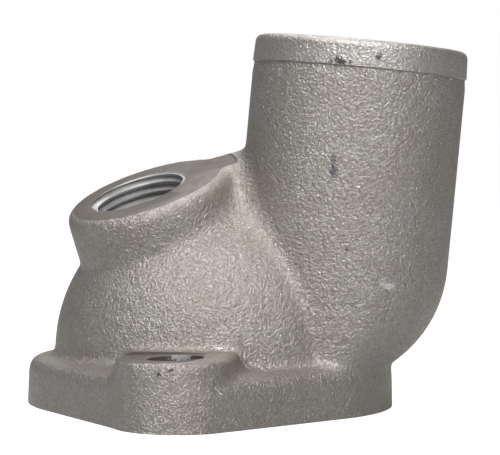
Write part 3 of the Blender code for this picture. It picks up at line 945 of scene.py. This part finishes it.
def faced_material():
    """Milled face: smooth brownish grey with faint tool marks and bare spots where it was knocked."""
    material, tree, shader, place = new_material("faced")
    tone = add_group(tree, SOILING, Position=place, Clean=FACED_GREY, Soiled=FACED_BROWN, Amount=0.5)
    colour = blend(tree, marks(tree, place, BARE_SPOTS), tone["Color"], BARE_METAL_AND_HIGHLIGHT)
    tree.links.new(colour, shader.inputs["Base Color"])
    shader.inputs["Metallic"].default_value = 0.7
    tree.links.new(spread(tree, tone["Soil"], 0, 1, 0.42, 0.6), shader.inputs["Roughness"])
    height = noise(tree, place, 1500, 3.0, 0.6)
    tree.links.new(bump(tree, height, 0.03 * MM, 0.5), shader.inputs["Normal"])
    return material


def cored_material():
    """Inside of the casting as the core leaves it: rougher and darker."""
    material, tree, shader, place = new_material("cored")
    grain = add_group(tree, GRAIN, Position=place, Fineness=0.7)
    tone = add_group(tree, SOILING, Position=place, Clean=CORED_GREY, Soiled=CORED_BROWN, Amount=0.6)
    tree.links.new(tone["Color"], shader.inputs["Base Color"])
    shader.inputs["Metallic"].default_value = 0.5
    shader.inputs["Roughness"].default_value = 0.65
    tree.links.new(bump(tree, grain["Height"], 0.22 * MM, 0.8), shader.inputs["Normal"])
    return material


def bright_material():
    """Freshly cut metal of the thread."""
    material, tree, shader, place = new_material("bright")
    tone = add_group(tree, SOILING, Position=place, Clean=BRIGHT_GREY, Soiled=CORED_BROWN, Amount=0.2)
    colour = blend(tree, marks(tree, place, BARE_SPOTS), tone["Color"], BARE_METAL_AND_HIGHLIGHT)
    tree.links.new(colour, shader.inputs["Base Color"])
    shader.inputs["Metallic"].default_value = 0.45
    shader.inputs["Roughness"].default_value = 0.42
    height = noise(tree, place, 900, 3.0, 0.6)
    tree.links.new(bump(tree, height, 0.04 * MM, 0.5), shader.inputs["Normal"])
    return material


# Camera, floor and lights

def camera():
    """Camera at the photograph's place, with its small roll."""
    ahead = Vector((-math.sin(CAMERA_AZIMUTH), math.cos(CAMERA_AZIMUTH), 0))
    level = Vector((math.cos(CAMERA_AZIMUTH), math.sin(CAMERA_AZIMUTH), 0))
    place = level * CAMERA_SHIFT_RIGHT - ahead * CAMERA_DISTANCE + Vector((0, 0, CAMERA_HEIGHT))
    forward = ahead * math.cos(CAMERA_PITCH) - Vector((0, 0, math.sin(CAMERA_PITCH)))
    up = level.cross(forward)
    right = level * math.cos(CAMERA_ROLL) + up * math.sin(CAMERA_ROLL)
    up = up * math.cos(CAMERA_ROLL) - level * math.sin(CAMERA_ROLL)
    data = bpy.data.cameras.new("camera")
    data.sensor_width = SENSOR_WIDTH
    data.lens = FOCAL_LENGTH_PIXELS * SENSOR_WIDTH / PHOTO_WIDTH_PIXELS
    data.clip_start = 0.02
    data.clip_end = 20
    obj = bpy.data.objects.new("camera", data)
    bpy.context.scene.collection.objects.link(obj)
    obj.matrix_world = Matrix.Translation(place) @ Matrix((right, up, -forward)).transposed().to_4x4()
    bpy.context.scene.camera = obj


def under_part(tree, place):
    """Mask of the floor that only the part's own openings show, where no studio light falls."""
    hidden = 0.0
    footprint = [(Vector((0, 0, 0)), FLANGE_RADIUS)]
    footprint += [(centre, LOBE_RADIUS) for centre in bolt_centres()]
    for centre, radius in footprint:
        node = tree.nodes.new("ShaderNodeVectorMath")
        node.operation = "DISTANCE"
        tree.links.new(place, node.inputs[0])
        node.inputs[1].default_value = centre
        inside = maths(tree, "LESS_THAN", node.outputs["Value"], radius - FLOOR_MARGIN)
        hidden = maths(tree, "MAXIMUM", inside, hidden)
    return hidden


def floor():
    """Pale floor that the camera sees as white except where the part shades it."""
    bm = bmesh.new()
    bmesh.ops.create_grid(bm, x_segments=1, y_segments=1, size=FLOOR_SIZE / 2)
    obj = object_from(bm, "floor")
    material, tree, shader, place = new_material("pale_floor")
    shader.inputs["Base Color"].default_value = FLOOR_TONE
    shader.inputs["Roughness"].default_value = 0.9
    glow = tree.nodes.new("ShaderNodeEmission")
    glow.inputs["Strength"].default_value = FLOOR_GLOW
    mixed = tree.nodes.new("ShaderNodeMixShader")
    seen = tree.nodes.new("ShaderNodeLightPath").outputs["Is Camera Ray"]
    open_floor = maths(tree, "SUBTRACT", 1.0, under_part(tree, place))
    whitened = maths(tree, "MULTIPLY", maths(tree, "MULTIPLY", seen, FLOOR_WHITENING), open_floor)
    tree.links.new(whitened, mixed.inputs["Fac"])
    tree.links.new(shader.outputs["BSDF"], mixed.inputs[1])
    tree.links.new(glow.outputs["Emission"], mixed.inputs[2])
    tree.links.new(mixed.outputs["Shader"], tree.nodes["Material Output"].inputs["Surface"])
    obj.data.materials.append(material)


def softbox(name, bearing, height, size, power):
    """Round soft light aimed at the part, at a bearing and a height angle in degrees."""
    ahead = Vector((-math.sin(CAMERA_AZIMUTH), math.cos(CAMERA_AZIMUTH), 0))
    level = Vector((math.cos(CAMERA_AZIMUTH), math.sin(CAMERA_AZIMUTH), 0))
    outward = level * math.sin(math.radians(bearing)) - ahead * math.cos(math.radians(bearing))
    outward *= math.cos(math.radians(height))
    outward.z = math.sin(math.radians(height))
    light = bpy.data.lights.new(name, "AREA")
    light.shape = "DISK"
    light.size = size
    light.energy = power
    obj = bpy.data.objects.new(name, light)
    bpy.context.scene.collection.objects.link(obj)
    obj.location = (CAD_LOW + CAD_HIGH) / 2 + outward * LIGHT_DISTANCE
    obj.rotation_euler = (-outward).to_track_quat("-Z", "Y").to_euler()


def studio():
    """White surround for the camera, faint fill for everything else, and three soft lights."""
    world = bpy.data.worlds.new("studio")
    bpy.context.scene.world = world
    world.use_nodes = True
    tree = world.node_tree
    fill = tree.nodes["Background"]
    fill.inputs["Color"].default_value = (1, 1, 1, 1)
    fill.inputs["Strength"].default_value = FILL_STRENGTH
    white = tree.nodes.new("ShaderNodeBackground")
    white.inputs["Color"].default_value = (1, 1, 1, 1)
    mixed = tree.nodes.new("ShaderNodeMixShader")
    seen = tree.nodes.new("ShaderNodeLightPath").outputs["Is Camera Ray"]
    tree.links.new(seen, mixed.inputs["Fac"])
    tree.links.new(fill.outputs["Background"], mixed.inputs[1])
    tree.links.new(white.outputs["Background"], mixed.inputs[2])
    tree.links.new(mixed.outputs["Shader"], tree.nodes["World Output"].inputs["Surface"])
    for light in STUDIO_LIGHTS:
        softbox(*light)
    bpy.context.scene.view_settings.view_transform = "Standard"


camera()
floor()
studio()
cast_skin = skin_material("cast_skin", CAST_HOLLOWS, CAST_GREY, GRAIN_DEPTH)
# Lighter skin of the bead band with shallower grain; its lighter tone is a painted highlight
bead_skin_painted_light = skin_material("bead_skin_painted_light", BEAD_HOLLOWS_PAINTED_LIGHT, BEAD_TIPS_PAINTED_LIGHT, BEAD_GRAIN_DEPTH)
part = casting(cast_skin, bead_skin_painted_light, faced_material(), cored_material(), bright_material())
part.data.shade_smooth()
part.data.set_sharp_from_angle(angle=SHARP_ANGLE)
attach(part, "root")
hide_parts("coolant_flange")
print("TRIANGLES", sum(len(face.vertices) - 2 for face in part.data.polygons))

bpy.context.view_layer.update()
